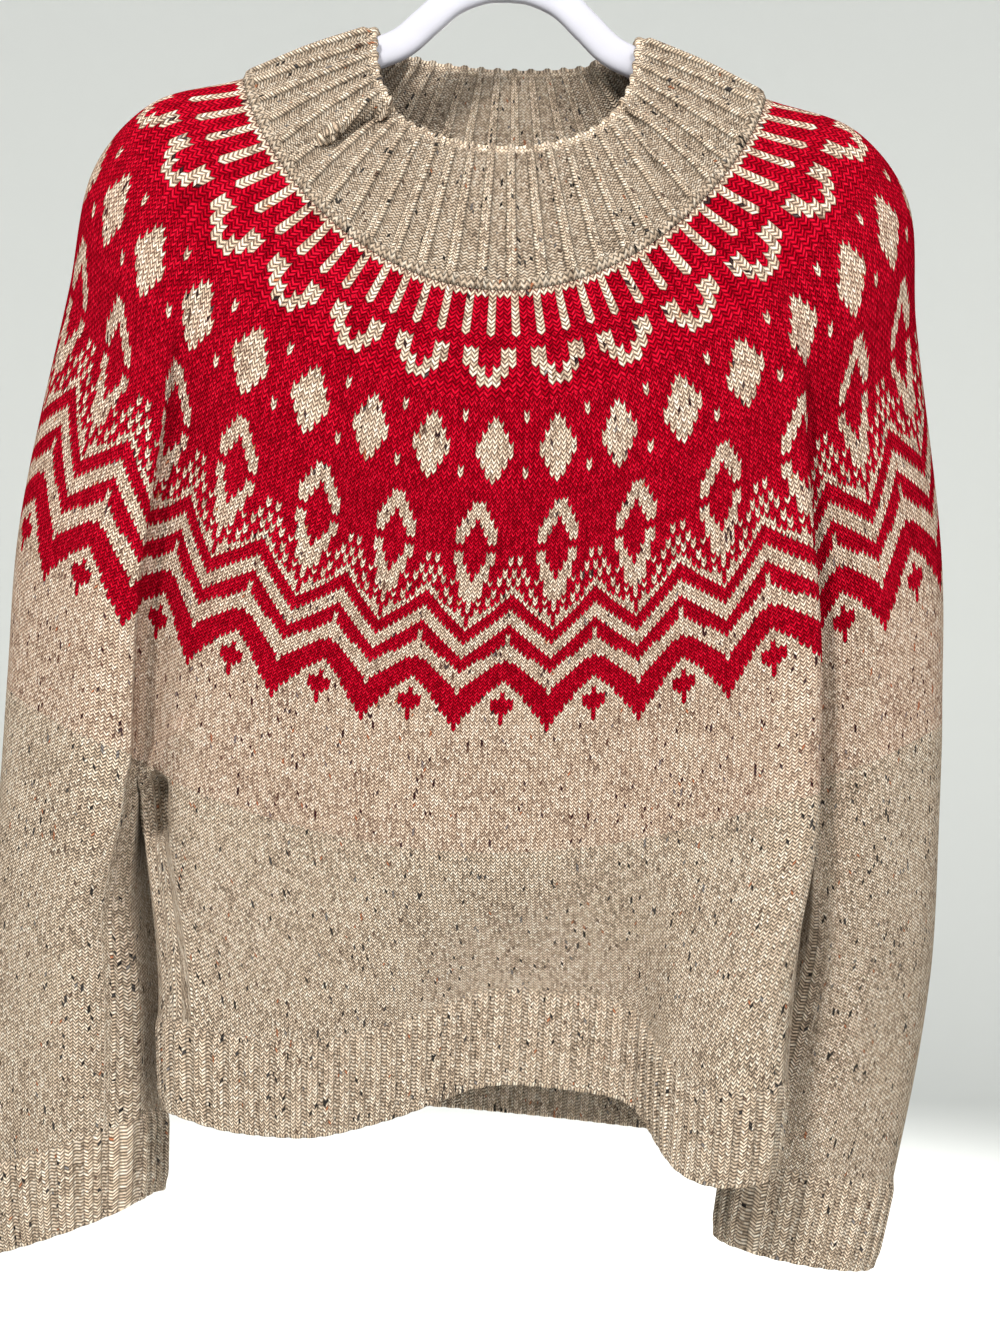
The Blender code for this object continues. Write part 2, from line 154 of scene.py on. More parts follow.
stage_profile = [(0.0, FLOOR), (FLOOR_DISC, FLOOR)]
stage_profile += [(STAGE_RADIUS - STAGE_SWEEP * (1 - math.sin(turn)),
                   FLOOR + STAGE_SWEEP * (1 - math.cos(turn)))
                  for turn in np.linspace(0, math.pi / 2, SWEEP_STEPS + 1)]
stage_profile += [(STAGE_RADIUS, STAGE_TOP)]
stage_turns = np.linspace(0, 2 * math.pi, STAGE_SIDES + 1)
stage_points = [[(radius * math.cos(turn), radius * math.sin(turn), height) for turn in stage_turns]
                for radius, height in stage_profile]
paper, paper_shader = new_material("backdrop_paper")
paper_shader.inputs["Base Color"].default_value = PAPER_COLOUR
paper_shader.inputs["Roughness"].default_value = PAPER_ROUGHNESS
stage = woven("studio_backdrop", np.array(stage_points), material=paper)

# ---- collar --------------------------------------------------------------------
# The funnel neck, knitted in flecked oatmeal wool in 48 broad ribs.  It grows out of
# the yoke's first round, where a chain of purl marks the seam, up to a rolled edge.

WALL = 0.003
COLLAR_HEIGHT = 0.078
COLLAR_RIBS = 48
# The rounds, by their distance down from the collar's seam.  bow and round are powers
# that shape a round seen from the front and from above, and fold is how deep its
# armhole folds are.
RING_COLUMNS = ("down", "centre_x", "half_width", "z_side", "z_front", "z_back",
                "y_side", "y_front", "y_back", "bow", "round", "fold")
RINGS = [
    (-0.078, 0.000, 0.0730, -0.102, -0.180, -0.108, 0.000, -0.058, 0.050, 0.45, 0.90, 0.000),
    (-0.040, 0.000, 0.1080, -0.116, -0.218, -0.143, 0.000, -0.064, 0.050, 0.95, 0.90, 0.000),
    (0.000, 0.000, 0.1430, -0.132, -0.256, -0.180, 0.000, -0.069, 0.050, 1.40, 0.90, 0.000),
    (0.048, 0.000, 0.1930, -0.148, -0.297, -0.232, 0.000, -0.072, 0.053, 1.60, 0.88, 0.002),
    (0.090, 0.000, 0.2215, -0.182, -0.338, -0.282, 0.000, -0.073, 0.056, 1.65, 0.84, 0.006),
    (0.147, -0.002, 0.2320, -0.252, -0.392, -0.350, 0.002, -0.072, 0.058, 1.65, 0.78, 0.016),
    (0.232, -0.0035, 0.2525, -0.378, -0.470, -0.452, 0.005, -0.069, 0.060, 1.80, 0.72, 0.026),
    (0.310, -0.0035, 0.2565, -0.470, -0.545, -0.545, 0.006, -0.067, 0.060, 2.20, 0.70, 0.030),
]
# The fold at each corner where body and sleeve part: which way in y it is pressed in,
# which side it is on, where its edge and its valley lie, towards the sleeve, how wide
# the valley is on the body and on the sleeve, and how far the cloth laps over it.
ARMHOLE_FOLDS = [
    (1, 1, 0.000, 0.006, 0.007, 0.022, 0.011), (-1, 1, 0.000, 0.000, 0.020, 0.020, 0.000),
    (-1, -1, 0.000, 0.000, 0.020, 0.020, 0.000), (1, -1, 0.008, -0.003, 0.020, 0.009, -0.011),
]
FOLD_EDGE = 0.0035          # half of the width in which the lapping cloth ends
FOLD_REACH = 0.018          # how far from a fold's edge its lap dies out
SIDE_SOFTNESS = 0.12        # how round the rings are at their sides, seen from the front
RING_SAMPLES = 1440         # points of a round before it is walked in even steps
YOKE_COLUMNS = 384          # points round the yoke
FRONT_COLUMNS = 120         # of those, points across the front, and across the back
SLEEVE_COLUMNS = 72         # of those, points over each sleeve
COLLAR_ROWS = 34
COLLAR_PARTS = 2            # each of the yoke's steps is cut in two in the collar


def eased(part):
    """A share from 0 to 1 that starts and ends gently."""
    return part * part * (3 - 2 * part)


def between_rows(rows, place):
    """All columns of a table at one value of its first column, on a smooth curve."""
    table = np.array(rows)
    slopes = np.gradient(table, table[:, 0], axis=0)
    low = int(np.clip(np.searchsorted(table[:, 0], place, side="right") - 1, 0, len(rows) - 2))
    span = table[low + 1, 0] - table[low, 0]
    part = (place - table[low, 0]) / span
    rise = eased(part)
    lean_low = part * (1 - part) ** 2 * span
    lean_high = part * part * (part - 1) * span
    return (table[low] * (1 - rise) + table[low + 1] * rise
            + slopes[low] * lean_low + slopes[low + 1] * lean_high)


def soft_power(cosine, power):
    """|cosine| to a power, from 0 at the side to 1 at front and back, rounded at 0."""
    floor = SIDE_SOFTNESS ** power
    top = (1 + SIDE_SOFTNESS ** 2) ** (power / 2)
    return ((cosine ** 2 + SIDE_SOFTNESS ** 2) ** (power / 2) - floor) / (top - floor)


def walked_along(line):
    """How far along a line each of its points lies."""
    return np.concatenate([[0], np.cumsum(np.linalg.norm(np.diff(line, axis=0), axis=1))])


def closed_up(ring):
    """A ring with its first point again at its end."""
    return np.vstack([ring, ring[:1]])


def points_at(stops, marks, line):
    """Points on a line at stops, where marks say how far along it its own points lie."""
    return np.column_stack([np.interp(stops, marks, line[:, axis]) for axis in range(3)])


def spaced_evenly(ring, count):
    """A ring of points walked round again in equal steps."""
    closed = closed_up(ring)
    walked = walked_along(closed)
    return points_at(np.arange(count) * walked[-1] / count, walked, closed)


def finer(ring, parts):
    """A ring with each of its chords cut into equal parts."""
    count = len(ring)
    return points_at(np.arange(count * parts) / parts, range(count + 1), closed_up(ring))


def finer_turns(turns, parts):
    """The turns, from 0 towards 1, of a ring whose chords are cut into equal parts."""
    return np.interp(np.arange(len(turns) * parts) / parts, range(len(turns) + 1), [*turns, 1.0])


def armhole_corners():
    """Places in a ring where body and sleeves part: front right, back right, and so on."""
    front = FRONT_COLUMNS // 2
    back = front + SLEEVE_COLUMNS
    return [front, back, YOKE_COLUMNS - back, YOKE_COLUMNS - front]


def reach_and_drop(row, cosine):
    """How far a ring's front and back lie from its sides, in y and in z."""
    front = cosine > 0
    reach = np.where(front, row["y_front"], row["y_back"]) - row["y_side"]
    drop = np.where(front, row["z_front"], row["z_back"]) - row["z_side"]
    return reach, drop


def knitted_ring(down):
    """One knitted round of the collar or yoke, from the front centre towards +X."""
    row = dict(zip(RING_COLUMNS, between_rows(RINGS, down)))
    angle = np.linspace(0, 2 * math.pi, RING_SAMPLES, endpoint=False)
    cosine = np.cos(angle)
    reach, drop = reach_and_drop(row, cosine)
    x = row["centre_x"] + row["half_width"] * np.sin(angle)
    y = row["y_side"] + reach * np.abs(cosine) ** row["round"]
    z = row["z_side"] + drop * soft_power(cosine, row["bow"])
    ring = spaced_evenly(np.column_stack([x, y, z]), YOKE_COLUMNS)
    step = np.linalg.norm(ring[1] - ring[0])
    for corner, fold in zip(armhole_corners(), ARMHOLE_FOLDS):
        inward, side, edge, valley, on_body, on_sleeve, lap = fold
        steps = (np.arange(YOKE_COLUMNS) - corner + YOKE_COLUMNS / 2) % YOKE_COLUMNS
        across = (steps - YOKE_COLUMNS / 2) * step * inward * side
        width = np.where(across < valley, on_body, on_sleeve)
        ring[:, 1] += inward * row["fold"] * np.exp(-((across - valley) / width) ** 2)
        past = across - edge
        near = np.exp(-(past / FOLD_REACH) ** 2) * row["fold"] / RINGS[-1][-1]
        lapped = (1 - np.sign(lap) * np.tanh(past / FOLD_EDGE)) / 2
        ring[:, 0] += side * lap * near * lapped
    return ring


CLOTH_MIDDLE = -0.004       # the y between the jumper's front and its back
CLOTH_TURN = 0.03           # how thick the zone is in which a crease dies out there


def creased(points, creases):
    """Points pressed in or out along soft lines.

    A crease has its face, -1 on the front and 1 on the back, the x and z of its top and
    its low end, its widths left and right of the way down, and how deep it is.
    """
    pressed = points.copy()
    for face, x_top, z_top, x_low, z_low, left, right, depth in creases:
        start = np.array([x_top, z_top])
        along = np.array([x_low, z_low]) - start
        offset = points[..., (0, 2)] - start
        part = np.clip(offset @ along / (along @ along), 0, 1)
        gap = offset - part[..., None] * along
        side = along[0] * gap[..., 1] - along[1] * gap[..., 0]
        width = np.where(side < 0, left, right)
        press = np.exp(-(np.linalg.norm(gap, axis=-1) / width) ** 2)
        facing = np.clip(0.5 + face * (points[..., 1] - CLOTH_MIDDLE) / CLOTH_TURN, 0, 1)
        pressed[..., 1] -= face * depth * press * facing
    return pressed


def outward(rings):
    """Unit vectors out of a tube's rings, from its neighbours round and along it."""
    around = np.roll(rings, -1, axis=1) - np.roll(rings, 1, axis=1)
    along = np.gradient(rings, axis=0)
    normals = np.cross(along, around)
    normals /= np.linalg.norm(normals, axis=-1, keepdims=True)
    middle = rings.mean(axis=1, keepdims=True)
    inside = ((rings - middle) * normals)[..., :2].sum() < 0
    return -normals if inside else normals


INNER_RELIEF = 0.5          # how much of the outer face's relief the inner face has
ROLL_STEPS = 7


def cloth_shell(name, rings, places, material, rise=0.0, rolled=True):
    """A shell of cloth on rings, rolled round at the last one where that is a free edge.

    places are the UV coordinates of each ring's points, one more than the points,
    and rise is how far each point of the outer face stands out.
    """
    normals = outward(rings)
    outer = rings + normals * np.broadcast_to(rise, rings.shape[:2])[..., None]
    inner = rings - (outer - rings) * INNER_RELIEF - normals * WALL
    roll = []
    if rolled:
        edge = (outer[-1] + inner[-1]) / 2
        half = (outer[-1] - inner[-1]) / 2
        lead = rings[-1] - rings[-2]
        lead /= np.linalg.norm(lead, axis=1, keepdims=True)
        lead *= np.linalg.norm(half, axis=1, keepdims=True)
        roll = [edge + half * math.cos(turn) + lead * math.sin(turn)
                for turn in np.linspace(0, math.pi, ROLL_STEPS + 1)[1:-1]]
    back = list(range(len(rings) - 1, 0, -2)) + [0]
    rows = np.stack([*outer, *roll, *inner[back], outer[0]])
    marks = np.stack([*places, *[places[-1]] * len(roll), *places[back], places[0]])
    hard = [0, len(rows) - 2] + ([] if rolled else [len(rings) - 1, len(rings)])
    closed = np.concatenate([rows, rows[:, :1]], axis=1)
    return woven(name, closed, marks, material=material, looped=True, sharp=hard)


def connect(node, values):
    """Link a node's inputs to the values that are a Shade, and set the others."""
    for key, value in values.items():
        if isinstance(value, Shade):
            node.id_data.links.new(value.socket, node.inputs[key])
        else:
            node.inputs[key].default_value = value


def worked_out(operation):
    """A method of Shade that one Math node works out."""
    return lambda self, *others: self.sum(operation, *others)


class Shade:
    """A value that shader nodes work out at each point, and that sums treat as a number.

    a | b is the larger and a & b the smaller of two values; a > b is 1 where it is true.
    """

    def __init__(self, socket):
        self.socket = socket

    def node(self, kind, inputs, output=0, **settings):
        """Any node of the same tree, with its inputs linked or set."""
        made = self.socket.node.id_data.nodes.new(kind)
        for name, value in settings.items():
            setattr(made, name, value)
        connect(made, inputs)
        return Shade(made.outputs[output])

    def sum(self, operation, *others):
        """This value and others, worked out by a Math node."""
        return self.node("ShaderNodeMath", dict(enumerate((self,) + others)), operation=operation)

    def __rsub__(self, other):
        return self * -1 + other

    __add__ = __radd__ = worked_out("ADD")
    __sub__ = worked_out("SUBTRACT")
    __mul__ = __rmul__ = worked_out("MULTIPLY")
    __truediv__ = worked_out("DIVIDE")
    __mod__ = worked_out("FLOORED_MODULO")
    __pow__ = worked_out("POWER")
    __gt__ = worked_out("GREATER_THAN")
    __lt__ = worked_out("LESS_THAN")
    __or__ = worked_out("MAXIMUM")
    __and__ = worked_out("MINIMUM")
    __abs__ = worked_out("ABSOLUTE")
    __floor__ = worked_out("FLOOR")

    def ramp(self, marks, interpolation="LINEAR"):
        """A colour read from marks of (place, colour)."""
        made = self.node("ShaderNodeValToRGB", {0: self})
        elements = made.socket.node.color_ramp.elements
        made.socket.node.color_ramp.interpolation = interpolation
        for place, colour in marks[len(elements):]:
            elements.new(place)
        for element, (place, colour) in zip(elements, marks):
            element.position = place
            element.color = tuple(colour) + (1,)
        return made

    def mixed(self, low, high):
        """The colour low where this value is 0, and high where it is 1."""
        return self.node("ShaderNodeMix", {0: self, 6: low, 7: high}, output=2, data_type="RGBA")

    def times(self, colour):
        """A colour darkened by this value."""
        return self.node("ShaderNodeVectorMath", {0: colour, 3: self}, operation="SCALE")

    def parts(self, kind="ShaderNodeSeparateXYZ"):
        """The three numbers in this place or colour."""
        made = self.node(kind, {0: self})
        return [Shade(socket) for socket in made.socket.node.outputs]

    def noise(self, scale, detail=2.0):
        """Soft noise over this place."""
        return self.node("ShaderNodeTexNoise", {"Vector": self, "Scale": scale, "Detail": detail})

    def bump(self, distance, strength=1.0):
        """A surface on which this height seems to stand out, as far as the distance."""
        return self.node("ShaderNodeBump", {"Height": self, "Distance": distance, "Strength": strength})

    def chance(self, other):
        """A random number for each pair of this value and another."""
        pair = self.node("ShaderNodeCombineXYZ", {0: self, 1: other})
        return self.node("ShaderNodeTexWhiteNoise", {0: pair}, noise_dimensions="2D")


STITCH_RELIEF = 0.0016      # how far the drawn stitches seem to stand out
WOOL_ROUGHNESS = 0.92
BLOOM_WEIGHT = 0.10
BLOOM_ROUGHNESS = 0.5


def knit_material(name, draw, bloom):
    """A wool material whose colour and relief come from draw(across, down, place).

    bloom is the colour of the loose fibres that catch light over the cloth.
    """
    made, shader = new_material(name)
    spot = Shade(made.node_tree.nodes.new("ShaderNodeUVMap").outputs[0])
    across, down, _ = spot.parts()
    place = spot.node("ShaderNodeTexCoord", {}, output="Object")
    colour, relief = draw(across, down, place)
    connect(shader, {"Base Color": colour, "Normal": relief.bump(STITCH_RELIEF), "Roughness": WOOL_ROUGHNESS,
                     "Specular IOR Level": 0.0, "Sheen Weight": BLOOM_WEIGHT,
                     "Sheen Roughness": BLOOM_ROUGHNESS, "Sheen Tint": bloom})
    return made


STITCH_LEAN = 0.85          # how far a stitch's legs slope, in rows
LEG_ROUND = 1.2             # power that shapes a leg across, from edge to edge
LEG_ROOT_DIP = 0.35         # how much lower the legs are where the two meet
LEG_SIDE_DIP = 0.60         # and at the stitch's outer sides
PURL_BOW = 0.28             # how far a purl bump bows, in rows
PURL_ROUND = 0.8
PURL_HEIGHT = 0.8           # of a plain stitch's


def plain_stitches(across, down):
    """V stitches: the number of each leg and of its row, and the legs' height."""
    column = math.floor(across)
    within = across - column
    lean = abs(within * 2 - 1)
    level = down + lean * STITCH_LEAN - STITCH_LEAN
    row = math.floor(level)
    strand = level - row
    dip = 1 - (1 - lean) ** 2 * LEG_ROOT_DIP - lean ** 4 * LEG_SIDE_DIP
    height = (strand * (1 - strand) * 4) ** LEG_ROUND * dip
    return column * 2 + (within > 0.5), row, height


def purl_stitches(across, down):
    """The cloth's reverse: short bumps that lie along each row."""
    column = math.floor(across)
    within = across - column
    level = down + (within * (2 * math.pi)).sum("COSINE") * PURL_BOW
    row = math.floor(level)
    strand = level - row
    height = (strand * (1 - strand) * 4) ** PURL_ROUND * PURL_HEIGHT
    return column * 2 + (within > 0.5), row, height


OATMEAL_BLOOM = (0.90, 0.80, 0.66, 1)
OATMEAL_TONES = [
    (0.0, (0.13, 0.095, 0.07)), (0.20, (0.38, 0.285, 0.205)), (0.50, (0.72, 0.56, 0.41)),
    (0.75, (0.92, 0.78, 0.62)), (1.0, (1.0, 0.93, 0.80)),
]
OATMEAL_WARM = (0.70, 0.55, 0.40, 1)
WARM_GAIN = 4
WARM_SHARE = 0.25
FLECK_TONES = [
    (0.0, (0.02, 0.018, 0.018)), (0.34, (0.055, 0.05, 0.05)), (0.55, (0.16, 0.10, 0.07)),
    (0.72, (0.24, 0.22, 0.21)), (0.86, (0.50, 0.20, 0.10)),
]
FIBRE_SCALE = 800.0         # noise as fine as a strand,
LOT_SCALE = 120.0           # as broad as a few stitches,
PATCH_SCALE = 45.0          # and as broad as a dozen
CALM = 0.42                 # noise below this leaves the wool as it is
LEG_TONE = 0.60             # how much each leg's own tone counts,
PATCH_TONE = 0.30           # how much its patch counts,
OATMEAL_SHIFT = 0.44        # and what is taken off their sum
LEAST_SPECKS = 0.004        # share of legs that are specks in calm wool
MORE_SPECKS = 0.13          # and its rise where there are many
TUFT_SHARE = 0.35           # tufts, two rows high, against single specks
# Steps to another leg or row, so that each draw is one of its own.
SPECK_DRAW = 311.5
TUFT_DRAW = 57.5
HUE_DRAW = 97.5


def oatmeal_yarn(leg, row, place):
    """Flecked oatmeal yarn: a tone for each leg of a stitch, and specks of other wool."""
    two_rows = math.floor(row * 0.5)
    patch = place.noise(PATCH_SCALE)
    tone = leg.chance(row) * LEG_TONE + place.noise(FIBRE_SCALE) + patch * PATCH_TONE - OATMEAL_SHIFT
    warm = (patch - CALM) * WARM_GAIN & 1.0 | 0.0
    tone = (warm * WARM_SHARE).mixed(tone.ramp(OATMEAL_TONES), OATMEAL_WARM)
    share = ((place.noise(LOT_SCALE, 1.0) - CALM) | 0.0) * MORE_SPECKS + LEAST_SPECKS
    speck = (leg + SPECK_DRAW).chance(row) > 1.0 - share
    tuft = (leg + TUFT_DRAW).chance(two_rows) > 1.0 - share * TUFT_SHARE
    hue = leg.chance(two_rows + HUE_DRAW)
    return (speck | tuft).mixed(tone, hue.ramp(FLECK_TONES, "CONSTANT"))


RIB_LINE = 0.05             # how far, in ribs, the shadow reaches at a ridge's borders
BORDER_SHADE = 0.40         # how dark it is there,
MIDDLE_SHADE = 0.20         # and between the two columns of a ridge
RIB_STITCH_SHADE = 0.80     # how much painted shade darkens the cloth between strands
RIB_NUMBERS = 8             # stitch numbers kept for each rib
RIDGE_STITCHES = 2
CHAIN_STITCHES = 5          # purl loops of the chain to a rib
CHAIN_LINES = 1.5           # and rows of them in the whole band


def either(mask, ones, zeros):
    """The values of ones where the mask is 1, and those of zeros where it is 0."""
    return [mask * one + (1 - mask) * zero for one, zero in zip(ones, zeros)]


def rib_cloth(share, gully_stitches, gully_shade, chain_rows=0, cast_off=None):
    """Ribbing of the given share of ridge; across counts ribs and down counts rows.

    gully_shade is how much painted shade darkens the gullies and the chain, chain_rows
    how many rows above row 0 are a band of large purl loops, and cast_off the row of a
    plain edge without painted shade.
    """
    def draw(across, down, place):
        within = across % 1
        off_centre = abs(within - 0.5)
        ridge = off_centre < share / 2
        first = math.floor(across) * RIB_NUMBERS
        knit = (within - (0.5 - share / 2)) / share * RIDGE_STITCHES + first
        purl = ((within + share / 2 + 0.5) % 1) / (1 - share) * gully_stitches
        purl_leg, *purl_rest = purl_stitches(purl, down)
        stitch = either(ridge, plain_stitches(knit, down), (purl_leg + first + 0.5, *purl_rest))
        if chain_rows:
            in_chain = down > -chain_rows
            loops = purl_stitches(across * CHAIN_STITCHES, down * (CHAIN_LINES / chain_rows))
            stitch = either(in_chain, loops, stitch)
            # The chain takes the gullies' painted shade all across.
            ridge = ridge * (1 - in_chain)
        leg, row, height = stitch
        # Painted shade: darker lines at the ridges' borders and between the two columns of a ridge, and
        # darker gullies.
        border = abs(off_centre - share / 2) / RIB_LINE & 1.0
        middle = off_centre / RIB_LINE & 1.0
        line = (1 - (1 - border) * BORDER_SHADE) * (1 - (1 - middle) * MIDDLE_SHADE)
        ground = (1 - (1 - ridge) * gully_shade) * line
        # The cast-off edge has no painted shade.
        if cast_off:
            ground = ground | (down < cast_off)
        # Painted shade between the strands of each stitch, from the stitches' height.
        painted_shade = ground * (1 - (1 - height) * RIB_STITCH_SHADE)
        return painted_shade.times(oatmeal_yarn(leg, row, place)), height
    return draw


RIDGE_EDGE = 0.07           # how far, in ribs, a ridge's sides slope


def rib_form(turns, share, strands=0.0):
    """Height of the ribs, from 0 in a gully to 1 on a ridge; turns counts ribs.

    strands is how far the two columns of stitches on a ridge stand apart.
    """
    off_centre = np.abs(turns % 1 - 0.5)
    ridge = 0.5 + 0.5 * np.tanh((share / 2 - off_centre) / RIDGE_EDGE)
    return ridge * (1 - strands * np.cos(4 * math.pi * off_centre / share))


def ribbed_band(name, rings, material, ribs, rows, share, rise, fade, strands=0.0, chain=0.0):
    """A ribbed shell of cloth on rings that run to a rolled edge.

    It has so many ribs and rows.  A share of each rib stands out by rise, and chain is
    how far each whole ring does.  With a fade of (start, end, least) the ribs come up
    within 1/start of the band, and go down within 1/end of it to least of their rise.
    """
    levels = np.linspace(0, 1, len(rings))
    turns = np.linspace(0, ribs, rings.shape[1] + 1)
    start, end, least = fade
    shown = np.clip(levels * start, 0, 1) * np.clip((1 - levels) * end, least, 1)
    relief = np.outer(shown, rib_form(turns[:-1], share, strands)) * rise + np.reshape(chain, (-1, 1))
    places = np.array([[(turn, level * rows) for turn in turns] for level in levels])
    return cloth_shell(name, rings, places, material, relief)


COLLAR_RIDGE = 0.38         # the share of a rib that is ridge
COLLAR_ROW_PITCH = 0.0018
COLLAR_GULLY_STITCHES = 3
COLLAR_GULLY_SHADE = 0.42
COLLAR_RIB_RISE = 0.0038
COLLAR_FADE = (12, 16, 0.45)
COLLAR_STRANDS = 0.12
CHAIN_ROWS = 3.2
CHAIN_RISE = 0.0018
CHAIN_MIDDLE = 0.0028       # metres above the seam
CHAIN_HALF = 0.0024
CAST_OFF_ROWS = 1.6
COLLAR_CREASES = [
    (-1, -0.055, -0.153, -0.084, -0.168, 0.004, 0.016, 0.009),
    (-1, -0.055, -0.150, -0.084, -0.165, 0.020, 0.002, -0.005),
    (-1, 0.066, -0.152, 0.080, -0.178, 0.008, 0.004, 0.006),
    (1, 0.050, -0.100, 0.064, -0.128, 0.004, 0.012, 0.007),
]

collar_cloth = rib_cloth(COLLAR_RIDGE, COLLAR_GULLY_STITCHES, COLLAR_GULLY_SHADE, CHAIN_ROWS,
                         CAST_OFF_ROWS - COLLAR_HEIGHT / COLLAR_ROW_PITCH)
collar_rib = knit_material("collar_rib", collar_cloth, OATMEAL_BLOOM)
collar_levels = np.linspace(0, 1, COLLAR_ROWS)
collar_rings = creased(np.array([finer(knitted_ring(-COLLAR_HEIGHT * level), COLLAR_PARTS)
                                 for level in collar_levels]), COLLAR_CREASES)
chain = np.exp(-((collar_levels * COLLAR_HEIGHT - CHAIN_MIDDLE) / CHAIN_HALF) ** 2) * CHAIN_RISE
collar = ribbed_band("funnel_collar", collar_rings, collar_rib, COLLAR_RIBS,
                     -COLLAR_HEIGHT / COLLAR_ROW_PITCH, COLLAR_RIDGE, COLLAR_RIB_RISE, COLLAR_FADE,
                     COLLAR_STRANDS, chain)
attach(collar, "root")
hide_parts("collar")

# ---- yoke ----------------------------------------------------------------------
# The round yoke, knitted in crimson and oatmeal wool from collar to chest.  Its chart
# has bars, horseshoes, diamonds, leaves, seeds, zigzags, scallops and small crosses.

YOKE_DEPTH = 0.310
REPEATS = 24
STITCHES_TO_A_REPEAT = 20
YOKE_ROWS = 96              # rings of points, from collar to underarm
ROW_MARKS = [(0.0, 0), (0.118, 44), (0.177, 70), (0.241, 102), (0.310, 138)]
CHART_ROWS = 127.5          # a row is then two steps of a colour ramp
ROW_MIDDLE = 0.6
CLOSEST = 2                 # a ramp's numbers end at 1, so closeness is divided by this
WIDEST = 10                 # and a motif's widths are divided by this
# how much painted shade darkens the yoke between strands
YOKE_STITCH_SHADE = 0.84
# From each row on: stitches to a repeat, its repeats to one of the 24, and their shift.
GAUGE = [(0, 7.5, 1, 0), (11, 9, 1, 0), (24, 12, 1.25, -0.16), (42, 18, 1, 0), (70, 20, 1, 0)]
# Where the front's repeats 0 to 6 lie, in even turns, at three distances down.
DRAWN_DOWNS = (0.048, 0.148, 0.236)
DRAWN_PLACES = [(0, 0.85, 1.72, 2.68, 3.80, 5.00, 6.05), (0, 0.87, 1.70, 2.74, 3.69, 4.60, 5.50),
                (0, 0.98, 1.96, 2.95, 3.93, 4.88, 5.87)]
DRAWN_SHIFTS = (0.05, 0.08, 0.20)
# The motifs from each row on: half-width in stitches, half-width of the hole in it, and
# half-width of the cross between two motifs.  0 is one stitch; -1, or left out, is none.
MOTIF = [
    (0,), (13, 3, 1), (17, 2, 0), (19, 1), (21,),
    (27, 0), (28, 1), (30, 2), (32, 3), (35, 2), (37, 1), (39, 0), (40,),
    (44, 1), (46, 2), (48, 3, 0), (50, 4, 1), (52, 4, 2), (54,),
    (56, 4, 2), (59, 3, 1), (61, 3, 0), (63, 2), (67, 1), (68, 0), (71,),
    (93, -1, -1, 0), (95, -1, -1, 2), (98, -1, -1, 1), (99, -1, -1, 0), (102,),
]
BAR_STEP = 3                # stitches from one bar to the next under the collar
BAR_ROWS = 9
DOT_ROWS = (26.5, 37.5)     # the middles of the dots' two rows,
DOT_PLACE = 6               # that many stitches from a motif's middle
PEAK_SPIKE = 77.5           # rows of the spikes on the zigzags' peaks,
MOTIF_SPIKE = 93            # and below the motifs' middles
ROW_REACH = 0.8             # takes in two rows about their middle, or one about its own
ZIGZAGS = [(64, 1.05, 1.7), (70, 1.0, 4.0), (79, 0.9, 4.6)]     # top row at the peak, slope, rows
SCALLOP_TOP = 90
SCALLOP_SLOPE = 0.9
SCALLOP_BOW = 0.05
CROSS_TOP = 93
SEED_TOP = 57
SEED_STEP = 2.5             # rows from one line of seeds to the next,
SEED_ROWS = 1.6             # and of a seed itself
SEED_START = 1.4            # stitches that the first seeds lie to each side of a peak,
SEED_SPREAD = 0.62          # how many more with each row,
SEED_GAP = 1.4              # and the rows left free above the first zigzag
CRIMSON_BLOOM = (0.90, 0.03, 0.06, 1)
CRIMSON_TONES = [
    (0.0, (0.12, 0.0003, 0.003)), (0.5, (0.42, 0.001, 0.012)), (1.0, (0.74, 0.008, 0.035)),
]
CRIMSON_FIBRES = 0.8        # how much the fibres count in its tone,
CRIMSON_SHIFT = 0.2         # and what is taken off the sum
# Painted sheen: paler flecks on the crimson where loose fibres catch the light.
PAINTED_SHEEN = (0.74, 0.02, 0.06, 1)
PAINTED_SHEEN_SCALE = 900.0
PAINTED_SHEEN_START = 0.58
PAINTED_SHEEN_GAIN = 6
PAINTED_SHEEN_SHARE = 0.35


def crimson_yarn(leg, row, place):
    """Crimson yarn, with a painted sheen of paler flecks where loose fibres catch the light."""
    tone = leg.chance(row) * LEG_TONE + place.noise(FIBRE_SCALE) * CRIMSON_FIBRES - CRIMSON_SHIFT
    painted_sheen = (place.noise(PAINTED_SHEEN_SCALE, 3.0) - PAINTED_SHEEN_START) * PAINTED_SHEEN_GAIN & 1.0 | 0.0
    return (painted_sheen * PAINTED_SHEEN_SHARE).mixed(tone.ramp(CRIMSON_TONES), PAINTED_SHEEN)


def pattern_turns(down):
    """Where each column of a round lies in the pattern, in repeats from the front centre.

    The stitches lie closer on the front, and are drawn out over shoulders and back.
    """
    even = np.arange(YOKE_COLUMNS + 1) / YOKE_COLUMNS * REPEATS
    places = [np.interp(down, DRAWN_DOWNS, row) for row in zip(*DRAWN_PLACES)] + [REPEATS / 2]
    counts = list(range(len(places) - 1)) + [REPEATS / 2]
    half = np.interp(np.minimum(even, REPEATS - even), places, counts)
    turns = np.where(even <= REPEATS / 2, half, REPEATS - half)
    return turns + np.interp(down, DRAWN_DOWNS, DRAWN_SHIFTS)


def charted(row, marks):
    """Three numbers from 0 to 1 that hold from each marked row on."""
    steps = [(first / CHART_ROWS, values) for first, values in marks]
    return ((row + ROW_MIDDLE) / CHART_ROWS).ramp(steps, "CONSTANT").parts("ShaderNodeSeparateColor")


